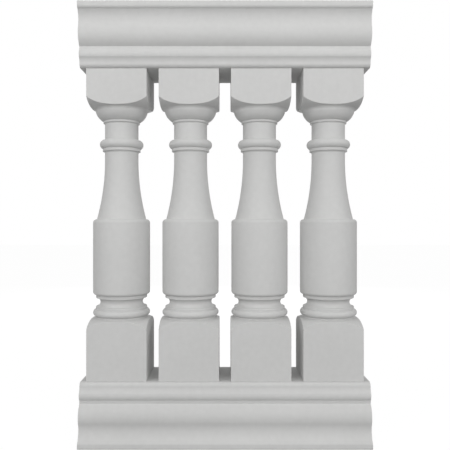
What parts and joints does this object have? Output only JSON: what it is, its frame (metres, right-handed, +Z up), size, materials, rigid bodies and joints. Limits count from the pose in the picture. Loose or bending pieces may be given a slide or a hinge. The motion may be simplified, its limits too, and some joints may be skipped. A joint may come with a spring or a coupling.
{
  "type": "fibreglass balustrade bay",
  "caption": "Fibreglass balustrade bay: turned balusters with square plinths and cap blocks between a moulded top rail and a matching moulded bottom rail.",
  "frame": {"origin": "middle of the bottom rail's underside, on the floor", "axes": "+Z up, +X along the bay to the right as seen from the front, +Y from the front to the back"},
  "size_m": [0.6096, 0.18, 0.9266],
  "materials": {
    "gel_coat": "satin pale grey gel coat on glass-fibre laminate"
  },
  "bodies": {
    "root": {"top_rail": "gel_coat", "top_rail_soffit_plate": "gel_coat", "top_rail_left_end_cap": "gel_coat", "top_rail_right_end_cap": "gel_coat", "baluster_1": "gel_coat", "baluster_2": "gel_coat", "baluster_3": "gel_coat", "baluster_4": "gel_coat", "bottom_rail": "gel_coat", "bottom_rail_deck_plate": "gel_coat", "bottom_rail_left_end_cap": "gel_coat", "bottom_rail_right_end_cap": "gel_coat"}
  },
  "joints": []
}
